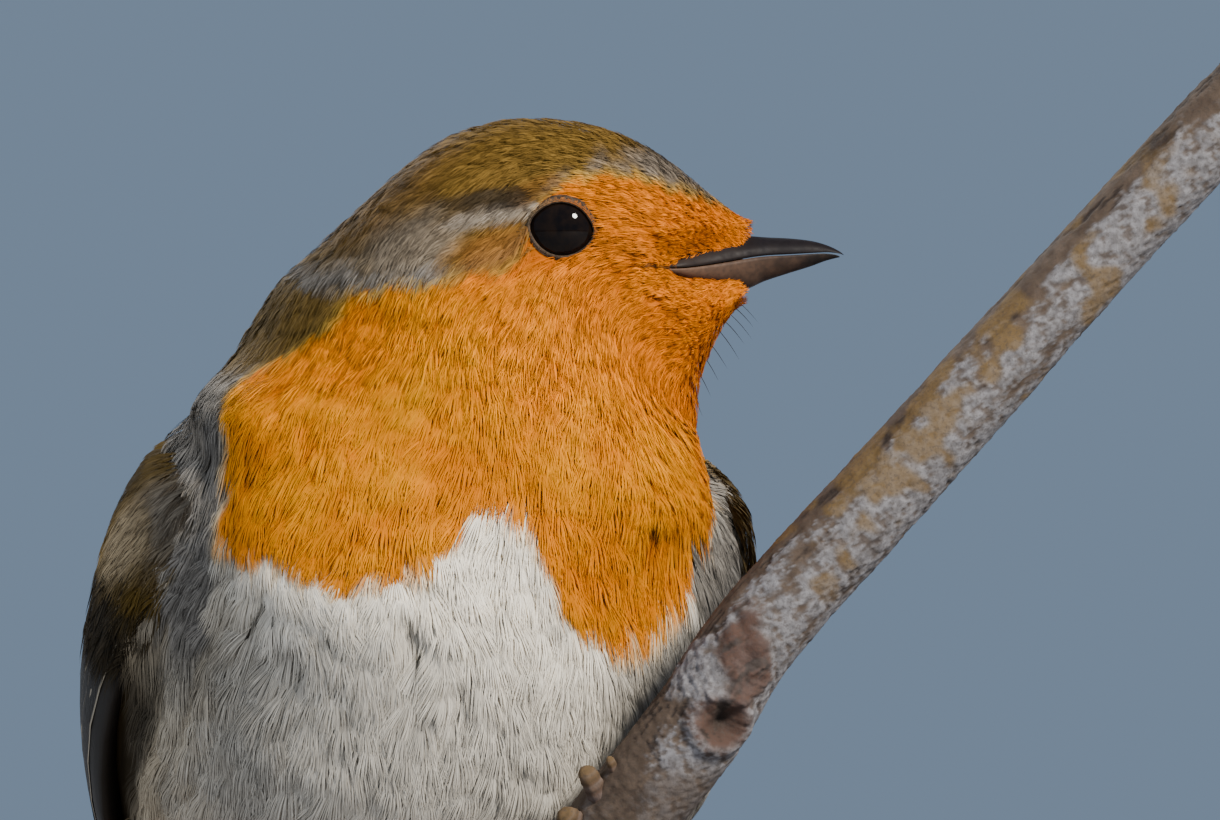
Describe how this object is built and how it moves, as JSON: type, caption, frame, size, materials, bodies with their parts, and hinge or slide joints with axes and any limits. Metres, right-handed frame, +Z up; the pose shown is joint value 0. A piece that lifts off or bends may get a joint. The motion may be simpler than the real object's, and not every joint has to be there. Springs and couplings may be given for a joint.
{
  "type": "european robin on a display perch",
  "caption": "Life-size still robin with an orange face and breast, head turned, gripping a short cut branch on a flat display stand.",
  "frame": {"origin": "centre of the stand's flat underside", "axes": "+Z up; +X the way the bill points; -Y the side that the breast faces, turned 20 degrees towards +X"},
  "size_m": [0.1156, 0.104, 0.1415],
  "materials": {
    "orange_plumage": "matt feathers, rich orange",
    "body_plumage": "matt soft feathers, orange breast, white belly, buff flanks",
    "flight_plumage": "olive brown feathers with paler edges",
    "eye": "wet glossy black brown",
    "bill_horn": "smooth dark horn with a soft gloss",
    "leg_skin": "fine brown scutes",
    "claw_horn": "dark horn",
    "bark": "grey brown bark with pale flaking lichen",
    "stand_wood": "satin oiled walnut",
    "stand_metal": "brushed"
  },
  "bodies": {
    "root": {"head": "orange_plumage", "neck": "orange_plumage", "trunk": "body_plumage", "tail": "flight_plumage", "wing_left": "flight_plumage", "wing_right": "flight_plumage", "eye_left": "eye", "eye_right": "eye", "bill_upper": "bill_horn", "bill_lower": "bill_horn", "leg_left": "leg_skin", "leg_right": "leg_skin", "perch": "bark", "stand_base": "stand_wood", "stand_rod_low": "stand_metal", "stand_rod_high": "stand_metal", "claw_left_1": "claw_horn", "claw_left_2": "claw_horn", "claw_left_3": "claw_horn", "claw_left_4": "claw_horn", "claw_right_1": "claw_horn", "claw_right_2": "claw_horn", "claw_right_3": "claw_horn", "claw_right_4": "claw_horn"}
  },
  "joints": []
}
